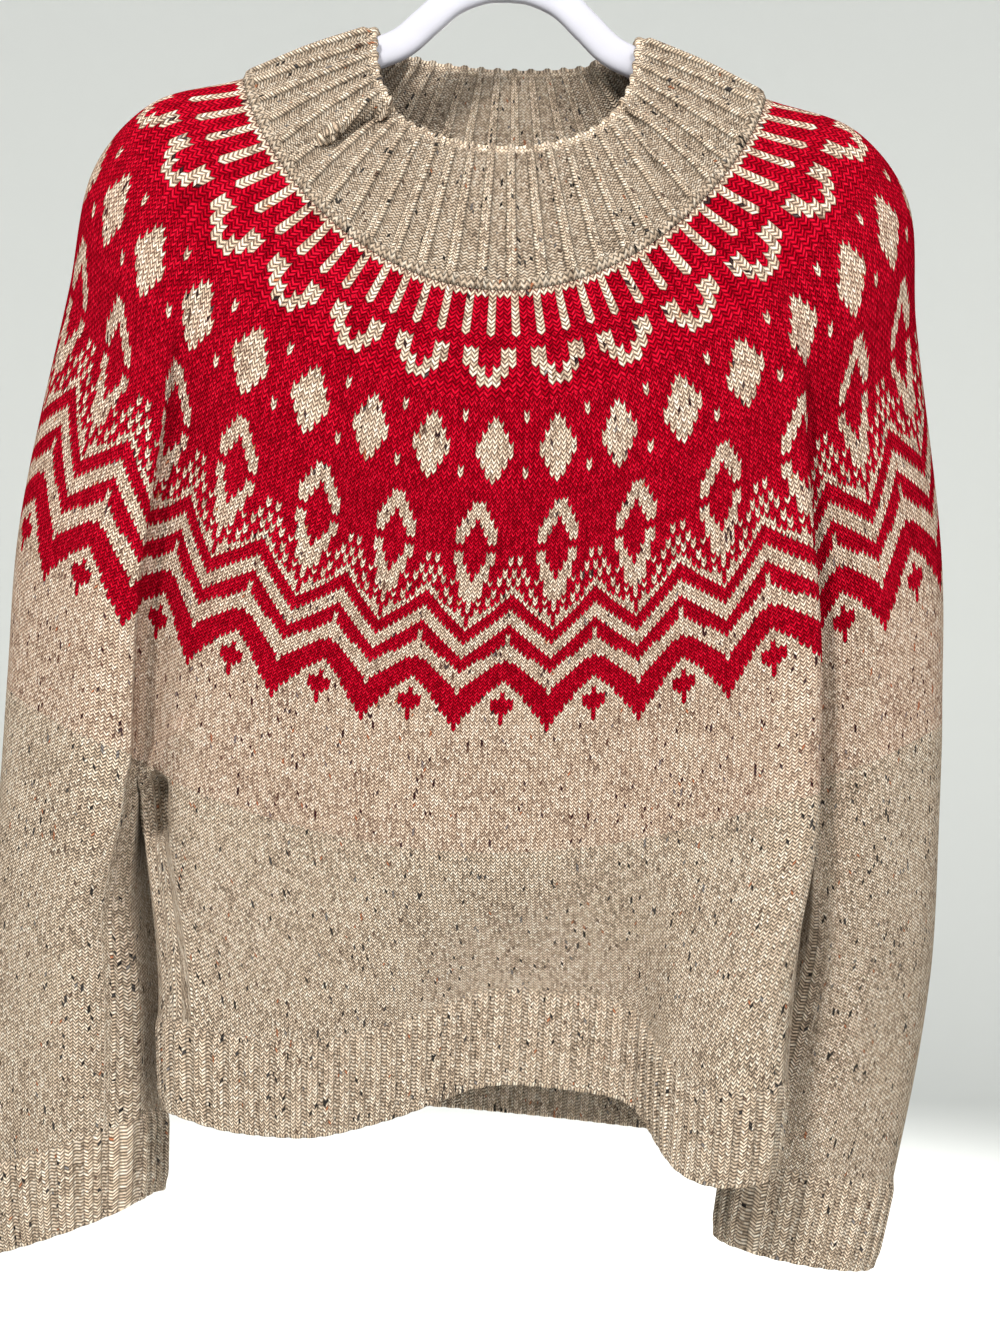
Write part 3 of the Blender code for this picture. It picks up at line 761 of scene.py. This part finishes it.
def yoke_cloth(across, down, place):
    """Colour and relief of the charted yoke; across counts repeats and down rows."""
    stitches, closer, shift = charted(math.floor(down), [
        (first, (stitches / STITCHES_TO_A_REPEAT, closer / CLOSEST, shift + 0.5))
        for first, stitches, closer, shift in GAUGE])
    stitches = stitches * STITCHES_TO_A_REPEAT
    across = across * closer * CLOSEST + shift - 0.5
    motif = math.floor(across + 0.5)
    leg, row, height = plain_stitches(across * stitches + 0.5, down)
    column = math.floor(across * stitches + 0.5)
    off = abs(column - motif * stitches)
    reach, hole, cross = (width * WIDEST for width in charted(row, [
        (first, [(width + 1) / WIDEST for width in (*widths, -1, -1, -1)[:3]])
        for first, *widths in MOTIF]))
    from_peak = STITCHES_TO_A_REPEAT / 2 - off * STITCHES_TO_A_REPEAT / stitches
    pale = (off < reach - 0.5) * (off > hole - 0.5)
    pale = pale | ((column % BAR_STEP < 0.5) * (row < BAR_ROWS + 0.5)) | (row < 0.5)
    for middle in DOT_ROWS:
        pale = pale | ((abs(row - middle) < ROW_REACH) * (off > DOT_PLACE - 0.5))
    for top, slope, rows in ZIGZAGS:
        below = row - from_peak * slope - top
        pale = pale | ((below > -0.5) * (below < rows - 0.5))
    for spike, away in ((PEAK_SPIKE, from_peak), (MOTIF_SPIKE, off)):
        pale = pale | ((abs(row - spike) < ROW_REACH) * (away < 0.5))
    first_top, first_slope, _ = ZIGZAGS[0]
    seed_row = row - SEED_TOP + 0.01        # a little more, against rounding
    seed_level = math.floor(seed_row / SEED_STEP)
    peak_column = from_peak * stitches / STITCHES_TO_A_REPEAT
    seeds = ((seed_row % SEED_STEP < SEED_ROWS)
             * (abs((math.floor(peak_column + 0.5) + seed_level) % 2 - 1) < 0.5)
             * (peak_column < (row - SEED_TOP) * SEED_SPREAD + SEED_START) * (row > SEED_TOP - 0.5)
             * (row - from_peak * first_slope - first_top < -SEED_GAP) * (off > reach + 0.5))
    ground = row - from_peak * (from_peak * SCALLOP_BOW + SCALLOP_SLOPE) - SCALLOP_TOP > -0.5
    pale = (pale | seeds | ground) * (1 - (from_peak < cross - 0.5) * (row > CROSS_TOP - 0.5))
    # Painted shade between the strands of each stitch.
    painted_shade = 1 - (1 - height) * YOKE_STITCH_SHADE
    colour = pale.mixed(crimson_yarn(leg, row, place), oatmeal_yarn(leg, row, place))
    return painted_shade.times(colour), height


UNDERARM_RIDGE = (-1, -0.156, -0.489, -0.180, -0.517, 0.006, 0.006, -0.010)
TORSO_CREASES = [
    (-1, 0.103, -0.470, 0.099, -0.700, 0.020, 0.004, 0.004),
    (-1, -0.040, -0.500, -0.050, -0.640, 0.020, 0.026, -0.003),
    (-1, -0.1685, -0.519, -0.1675, -0.542, 0.006, 0.004, 0.020),
    UNDERARM_RIDGE,
    (1, -0.070, -0.480, -0.058, -0.700, 0.016, 0.030, 0.006),
    (1, 0.060, -0.440, 0.084, -0.680, 0.028, 0.014, 0.006),
    (1, 0.004, -0.540, -0.004, -0.700, 0.020, 0.020, -0.004),
]

yoke_downs = np.linspace(0, YOKE_DEPTH, YOKE_ROWS)
yoke_rings = creased(np.array([knitted_ring(down) for down in yoke_downs]), TORSO_CREASES)
yoke_rows = np.interp(yoke_downs, *zip(*ROW_MARKS))
yoke_places = np.array([[(repeat, row) for repeat in pattern_turns(down)]
                        for down, row in zip(yoke_downs, yoke_rows)])
yoke_knit = knit_material("yoke_knit", yoke_cloth, CRIMSON_BLOOM)
yoke = cloth_shell("fair_isle_yoke", yoke_rings, yoke_places, yoke_knit, rolled=False)
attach(yoke, "root")
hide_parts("yoke")

# ---- body ----------------------------------------------------------------------
# The body tube, knitted plain in oatmeal wool.  It goes on from the yoke's last round
# and the stitches under both arms, and falls in soft folds to the hem.

UNDERARM_COLUMNS = 24
UNDERARM_SAG = 0.012
BODY_PARTS = 2              # each of the yoke's steps is cut in two here
BODY_ROWS = 56
ROW_PITCH = 0.00195         # height of a row of stitches
ROW_EVENNESS = 0.4          # how far the rows at a tube's end are drawn level
PLAIN_SHIFT = -0.323        # where the first stitch of a plain tube lies, in repeats
# how much painted shade darkens plain cloth between strands
PLAIN_STITCH_SHADE = 0.92
HEM_COLUMNS = ("centre_x", "half_width", "z_side", "z_front", "z_back", "y_side", "y_front", "y_back")
HEM_RINGS = [
    (0.003, 0.1700, -0.650, -0.645, -0.655, -0.014, -0.066, 0.054),
    (0.003, 0.1660, -0.698, -0.694, -0.703, -0.016, -0.068, 0.052),
]
FRONT_SQUARE = 0.62         # powers that shape the hem seen from below: less is squarer
BACK_SQUARE = 1.00
SLOPE_STEP = 0.004          # length over which the yoke's last slope is taken
FOLD_GROWTH = 0.9           # power of the way down by which the folds deepen
# Each fold above the hem: its middle, its widths left and right, how far it stands out
# and rises, and how square its two sides are.
BODY_FOLDS = [
    (-0.105, 0.045, 0.045, 0.012, -0.005, 2, 2),
    (0.050, 0.076, 0.045, -0.017, 0.000, 2, 7),
    (0.048, 0.074, 0.047, 0.000, 0.030, 2, 4),
    (0.134, 0.041, 0.034, 0.014, 0.000, 7, 4),
    (0.152, 0.044, 0.040, 0.000, -0.014, 2, 4),
]
HEM_SLANT = -0.047          # how much lower the hem hangs for each metre towards +X


def underarm_line(start, end):
    """Points across the underarm between two corners of the armhole, both included."""
    part = np.linspace(0, 1, UNDERARM_COLUMNS + 1)[:, None]
    line = start * (1 - part) + end * part
    line[:, 2] -= UNDERARM_SAG * np.sin(math.pi * part[:, 0])
    return line


def split_rings(ring):
    """The yoke's last round, parted into the tops of the body and of both sleeves."""
    front_right, back_right, back_left, front_left = armhole_corners()
    right_underarm = underarm_line(ring[front_right], ring[back_right])
    left_underarm = underarm_line(ring[back_left], ring[front_left])
    body = np.vstack([ring[:front_right], right_underarm, ring[back_right + 1:back_left],
                      left_underarm, ring[front_left + 1:]])
    right = np.vstack([ring[front_right + 1:back_right], right_underarm[::-1]])
    left = np.vstack([ring[back_left + 1:front_left], left_underarm[::-1]])
    outermost = SLEEVE_COLUMNS // 2 - 1
    return body, {"right": np.roll(right, -outermost, axis=0), "left": np.roll(left, -outermost, axis=0)}


def quarter_fractions(ring, quarters):
    """How far along its quarter of the ring each point lies, as a turn from 0 to 1."""
    walked = walked_along(closed_up(ring))
    marks = [walked[place] for place in quarters] + [walked[-1]]
    return np.interp(walked[:-1], marks, np.linspace(0, 1, len(marks)))


def sampled(curve, turns):
    """Points of a closed curve at the given turns, walked evenly within each quarter."""
    own = quarter_fractions(curve, range(0, len(curve), len(curve) // 4))
    return points_at(turns, [*own, 1.0], closed_up(curve))


def hem_ring(level, turns, folded):
    """A ring near the hem, level 0 at the top of the rib and 1 at its edge."""
    top, bottom = (np.array(row) for row in HEM_RINGS)
    row = dict(zip(HEM_COLUMNS, top + (bottom - top) * level))
    angle = np.linspace(0, 2 * math.pi, RING_SAMPLES, endpoint=False)
    cosine = np.cos(angle)
    front = cosine > 0
    reach, drop = reach_and_drop(row, cosine)
    x = row["half_width"] * np.sin(angle)
    y = row["y_side"] + reach * np.abs(cosine) ** np.where(front, FRONT_SQUARE, BACK_SQUARE)
    z = row["z_side"] + drop * np.abs(cosine) + HEM_SLANT * x
    weight = np.where(front, np.abs(cosine) ** 0.5, 0) * folded
    for centre_x, left, right, forward, rise, left_square, right_square in BODY_FOLDS:
        across = x - centre_x
        before = np.abs(across / left) ** (2 * left_square)
        after = np.abs(across / right) ** (2 * right_square)
        swell = weight / (1 + np.where(across < 0, before, after))
        y = y - forward * swell
        z = z + rise * swell
    return sampled(np.column_stack([x + row["centre_x"], y, z]), turns)


def plain_places(rings, parts):
    """UV coordinates of a plain tube that goes on from the yoke: repeats and rows.

    Each of the yoke's steps is cut in parts, and the rows are counted by the tube's length.
    """
    steps = np.linalg.norm(np.diff(rings, axis=0), axis=2)
    rows = ROW_MARKS[-1][1] + np.vstack([steps[:1] * 0, np.cumsum(steps, axis=0)]) / ROW_PITCH
    even = np.linspace(0, ROW_EVENNESS, len(rows))[:, None]
    rows += (rows.mean(axis=1, keepdims=True) - rows) * even
    rows = np.concatenate([rows, rows[:, :1]], axis=1)
    turns = np.arange(rows.shape[1]) * REPEATS / YOKE_COLUMNS / parts + PLAIN_SHIFT
    return np.stack([np.broadcast_to(turns, rows.shape), rows], axis=-1)


def lean_of(ring, above):
    """How far each point of a ring moves sideways for each metre that the cloth rises."""
    step = above - ring
    return step / step[:, 2:]


def plain_cloth(across, down, place):
    """Plain knit; across counts repeats and down counts rows."""
    leg, row, height = plain_stitches(across * STITCHES_TO_A_REPEAT + 0.5, down)
    # Painted shade between the strands of each stitch.
    painted_shade = 1 - (1 - height) * PLAIN_STITCH_SHADE
    return painted_shade.times(oatmeal_yarn(leg, row, place)), height


oatmeal_knit = knit_material("oatmeal_knit", plain_cloth, OATMEAL_BLOOM)
body_top, sleeve_tops = split_rings(knitted_ring(YOKE_DEPTH))
body_above, sleeves_above = split_rings(knitted_ring(YOKE_DEPTH - SLOPE_STEP))
body_lean = finer(lean_of(body_top, body_above), BODY_PARTS)
body_top = finer(body_top, BODY_PARTS)
body_quarter = (FRONT_COLUMNS + UNDERARM_COLUMNS) // 2 * BODY_PARTS
body_turns = quarter_fractions(body_top, range(0, len(body_top), body_quarter))
body_rings = []
hem_plain = hem_ring(0.0, body_turns, folded=0.0)
hem_folded = hem_ring(0.0, body_turns, folded=1.0)
body_fall = hem_folded[:, 2:] - body_top[:, 2:]
for level in np.linspace(0, 1, BODY_ROWS):
    ring = body_top + (hem_plain - body_top) * eased(level)
    ring += (hem_folded - hem_plain) * eased(level ** FOLD_GROWTH)
    ring += body_lean * body_fall * level * (1 - level) ** 2
    ring[:, 2:] = body_top[:, 2:] + body_fall * level
    body_rings.append(ring)
body_rings = creased(np.array(body_rings), TORSO_CREASES)
body_places = plain_places(body_rings, BODY_PARTS)
body = cloth_shell("body_tube", body_rings, body_places, oatmeal_knit, rolled=False)
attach(body, "root")
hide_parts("body")

# ---- hem -----------------------------------------------------------------------
# The ribbed band of oatmeal wool that is knitted on below the body: 96 ribs of two
# stitches with narrow grooves, hanging in a wave to a rolled lower edge.

HEM_PARTS = 3               # each of the body's steps is cut in three here
HEM_RIBS = 96
HEM_ROWS = 16               # rings of points
BAND_STITCH_ROWS = 26
BAND_RIDGE = 0.64           # the share of a rib that is ridge
HEM_RIDGE_FORM = 0.66       # and the share that stands out
BAND_GULLY_STITCHES = 1
BAND_GULLY_SHADE = 0.34
HEM_RIB_RISE = 0.0018
HEM_FADE = (8, 6, 0.25)

hem_top = finer(body_rings[-1], HEM_PARTS)
hem_low = hem_ring(1.0, finer_turns(body_turns, HEM_PARTS), folded=1.0)
hem_rings = np.array([hem_top + (hem_low - hem_top) * level for level in np.linspace(0, 1, HEM_ROWS)])
band_cloth = rib_cloth(BAND_RIDGE, BAND_GULLY_STITCHES, BAND_GULLY_SHADE)
broad_rib = knit_material("broad_rib", band_cloth, OATMEAL_BLOOM)
hem_rib = ribbed_band("ribbed_hem", hem_rings, broad_rib, HEM_RIBS, BAND_STITCH_ROWS,
                      HEM_RIDGE_FORM, HEM_RIB_RISE, HEM_FADE)
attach(hem_rib, "root")
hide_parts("hem_rib")

# ---- sleeves and cuffs ---------------------------------------------------------
# Two plain sleeves of oatmeal wool, knitted down from the yoke and the underarms.
# Each ends in a cuff of 24 ribs that is knitted on, with a rolled edge.

SLEEVE_ROWS = 64
CUFF_RIBS = 24
CUFF_ROWS = 15
CUFF_PARTS = 2              # each of the sleeve's steps is cut in two in its cuff
CUFF_RIDGE_FORM = 0.60
CUFF_RIB_RISE = 0.002
CUFF_FADE = (6, 6, 0.25)
CUFF_START = 0.200
CUFF_EDGE = 0.247
SLEEVE_SETTLE = 0.085       # length over which a sleeve turns from the armhole's shape to ovals
OVAL_SAMPLES = 720
# The sleeves' ovals, by their distance down; tilt is how steeply an oval slopes inwards.
OVAL_COLUMNS = ("down", "x", "y", "z", "half_width", "half_depth", "tilt")
SLEEVES = {
    "right": [
        (0.000, 0.2155, 0.008, -0.520, 0.0380, 0.045, 0.10),
        (0.060, 0.2180, 0.016, -0.580, 0.0385, 0.043, 0.06),
        (0.130, 0.2115, 0.030, -0.650, 0.0430, 0.036, 0.04),
        (0.200, 0.1960, 0.032, -0.722, 0.0470, 0.031, 0.12),
        (0.247, 0.1880, 0.030, -0.771, 0.0455, 0.027, 0.15),
    ],
    "left": [
        (0.000, -0.2220, 0.002, -0.520, 0.0380, 0.045, -0.10),
        (0.060, -0.2245, 0.004, -0.580, 0.0410, 0.040, -0.14),
        (0.130, -0.2215, 0.006, -0.648, 0.0465, 0.035, -0.22),
        (0.200, -0.2195, 0.006, -0.716, 0.0480, 0.032, -0.34),
        (0.247, -0.2170, 0.006, -0.763, 0.0465, 0.028, -0.38),
    ],
}
LAP_BACK = 0.016            # how far the left sleeve's back stands out past its front fold
LAP_FRONT = 0.002
LAP_START = 0.25            # where that begins, in half-depths behind the sleeve's middle
LAP_SOFTNESS = 0.3
FRONT_ROUND = 0.7           # power that flattens the left sleeve's front
SLEEVE_CREASES = {
    "right": [
        (-1, 0.214, -0.540, 0.196, -0.740, 0.008, 0.018, 0.004),
        (-1, 0.238, -0.500, 0.232, -0.640, 0.014, 0.010, 0.003),
        (1, 0.216, -0.560, 0.200, -0.740, 0.012, 0.014, 0.005),
    ],
    "left": [
        UNDERARM_RIDGE,
        (-1, -0.236, -0.520, -0.246, -0.730, 0.014, 0.020, 0.003),
        (1, -0.220, -0.540, -0.214, -0.730, 0.014, 0.014, 0.005),
    ],
}


def oval_ring(side, down, turns):
    """One oval round of a sleeve or cuff, from its outer side on towards the armhole's seam."""
    row = dict(zip(OVAL_COLUMNS, between_rows(SLEEVES[side], down)))
    outward_x = 1 if side == "right" else -1
    angle = np.linspace(0, 2 * math.pi, OVAL_SAMPLES, endpoint=False)
    across = outward_x * row["half_width"] * np.cos(angle)
    depth = outward_x * np.sin(angle)
    z = row["z"] - row["tilt"] * across
    if side == "left":
        inner = np.clip(across / row["half_width"], 0, 1) ** 2
        behind = (1 + np.tanh((depth - LAP_START) / LAP_SOFTNESS)) / 2
        across = across + inner * (LAP_BACK * behind - LAP_FRONT)
        depth = np.where(depth < 0, -np.abs(depth) ** FRONT_ROUND, depth)
    return sampled(np.column_stack([row["x"] + across, row["y"] + row["half_depth"] * depth, z]), turns)


narrow_rib = knit_material("cuff_rib", band_cloth, OATMEAL_BLOOM)
for side, top in sleeve_tops.items():
    turns = quarter_fractions(top, [0])
    lean = lean_of(top, sleeves_above[side]) * (1, 1, 0)
    rings = []
    for level in np.linspace(0, 1, SLEEVE_ROWS):
        down = level * CUFF_START
        oval = oval_ring(side, down, turns)
        part = min(1.0, down / SLEEVE_SETTLE)
        hanging = top + np.array([0, 0, -down]) - lean * down * (1 - part) ** 2
        rings.append(hanging + (oval - hanging) * eased(part))
    rings = creased(np.array(rings), SLEEVE_CREASES[side])
    sleeve = cloth_shell("sleeve_tube_" + side, rings, plain_places(rings, 1), oatmeal_knit, rolled=False)
    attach(sleeve, "root")
    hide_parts("sleeve_" + side)

    cuff_turns = finer_turns(turns, CUFF_PARTS)
    cuff_rings = np.array([oval_ring(side, down, cuff_turns)
                           for down in np.linspace(CUFF_START, CUFF_EDGE, CUFF_ROWS)])
    cuff_rings[0] = finer(rings[-1], CUFF_PARTS)
    cuff = ribbed_band("ribbed_cuff_" + side, cuff_rings, narrow_rib, CUFF_RIBS, BAND_STITCH_ROWS,
                       CUFF_RIDGE_FORM, CUFF_RIB_RISE, CUFF_FADE)
    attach(cuff, "root")
    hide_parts("cuff_" + side)

# ---- hanger --------------------------------------------------------------------
# The hanger, one moulding in white plastic: a flat oval bar that arches over the
# neck and presses the shoulders out, and the round hook that grows out of the arch.

HANGER_LINE = [
    (0.000, -0.0755), (0.014, -0.0770), (0.030, -0.0840), (0.044, -0.0965),
    (0.058, -0.1090), (0.078, -0.1180), (0.110, -0.1325), (0.150, -0.1515),
    (0.178, -0.1650), (0.194, -0.1750),
]
HANGER_BAR_HEIGHT = 0.017
HANGER_BAR_DEPTH = 0.010
HOOK_RADIUS = 0.0215
HOOK_THICKNESS = 0.0070
HOOK_START = math.radians(-25)
HOOK_END = math.radians(215)
HOOK_BOW_POINTS = 20
HOOK_STEM = [(0.0, -0.0665), (0.0, -0.056), (0.003, -0.0465), (0.011, -0.0375)]
BAR_STEPS = 89              # from the arch's middle to an end
HOOK_STEPS = 139
BAR_SIDES = 32
BAR_SQUARE = 0.72           # power of the bar's section: less is squarer
END_SIZE = 0.02             # of the whole section, at the very ends
PLASTIC_COLOUR = (0.36, 0.362, 0.405)
PLASTIC_SHADE = 0.9         # of that colour where the clouding is darkest
PLASTIC_ROUGHNESS = 0.50
PLASTIC_SPECULAR = 0.15
CLOUD_SCALE = 60.0          # faint clouding of the moulding,
CLOUD_DEPTH = 0.12          # and how much it changes colour and roughness
GRAIN_SCALE = 900.0
GRAIN_RELIEF = 0.0001
GRAIN_STRENGTH = 0.25


def smooth_line(points, steps):
    """A smooth line through points, in even steps from each to the next."""
    rows = [(place, x, z) for place, (x, z) in enumerate(points)]
    return np.array([between_rows(rows, stop)[1:] for stop in np.linspace(0, len(rows) - 1, steps + 1)])


def moulded_bar(name, line, high, deep, square, material):
    """A bar along a line in the XZ plane, rounded to almost nothing at both ends."""
    along = np.gradient(line, axis=0)
    along /= np.linalg.norm(along, axis=1, keepdims=True)
    across = np.column_stack([-along[:, 1], along[:, 0]])
    walked = walked_along(line)
    to_end = np.minimum(walked, walked[-1] - walked) / (high / 2)
    size = np.sqrt(1 - (1 - np.clip(to_end, 0.0, 1)) ** 2).clip(END_SIZE)
    turn = np.linspace(0, 2 * math.pi, BAR_SIDES + 1)
    up, out = [np.sign(wave) * np.abs(wave) ** square * size[:, None] * whole / 2
               for wave, whole in ((np.sin(turn), high), (np.cos(turn), deep))]
    points = np.stack([line[:, :1] + across[:, :1] * up, -out, line[:, 1:] + across[:, 1:] * up], axis=-1)
    return woven(name, points, material=material)


plastic, plastic_shader = new_material("white_plastic_moulding")
mould = Shade(plastic.node_tree.nodes.new("ShaderNodeTexCoord").outputs["Object"])
clouds = mould.noise(CLOUD_SCALE, 3.0) * CLOUD_DEPTH
surface = mould.noise(GRAIN_SCALE).bump(GRAIN_RELIEF, GRAIN_STRENGTH)
connect(plastic_shader, {
    "Base Color": (clouds + PLASTIC_SHADE).times(PLASTIC_COLOUR), "Roughness": clouds + PLASTIC_ROUGHNESS,
    "Specular IOR Level": PLASTIC_SPECULAR, "Normal": surface})

half_line = smooth_line(HANGER_LINE, BAR_STEPS)
hanger_line = np.vstack([half_line[:0:-1] * (-1, 1), half_line])
hanger = moulded_bar("hanger_bar", hanger_line, HANGER_BAR_HEIGHT, HANGER_BAR_DEPTH, BAR_SQUARE, plastic)
hook_bow = [(HOOK_RADIUS * math.cos(turn), HOOK_THICKNESS / 2 - HOOK_RADIUS + HOOK_RADIUS * math.sin(turn))
            for turn in np.linspace(HOOK_START, HOOK_END, HOOK_BOW_POINTS)]
hook_line = smooth_line(HOOK_STEM + hook_bow, HOOK_STEPS)
hook = moulded_bar("hanger_hook_rod", hook_line, HOOK_THICKNESS, HOOK_THICKNESS, 1.0, plastic)
for piece, node in ((hanger, "hanger"), (hook, "hanger_hook")):
    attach(piece, "root")
    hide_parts(node)
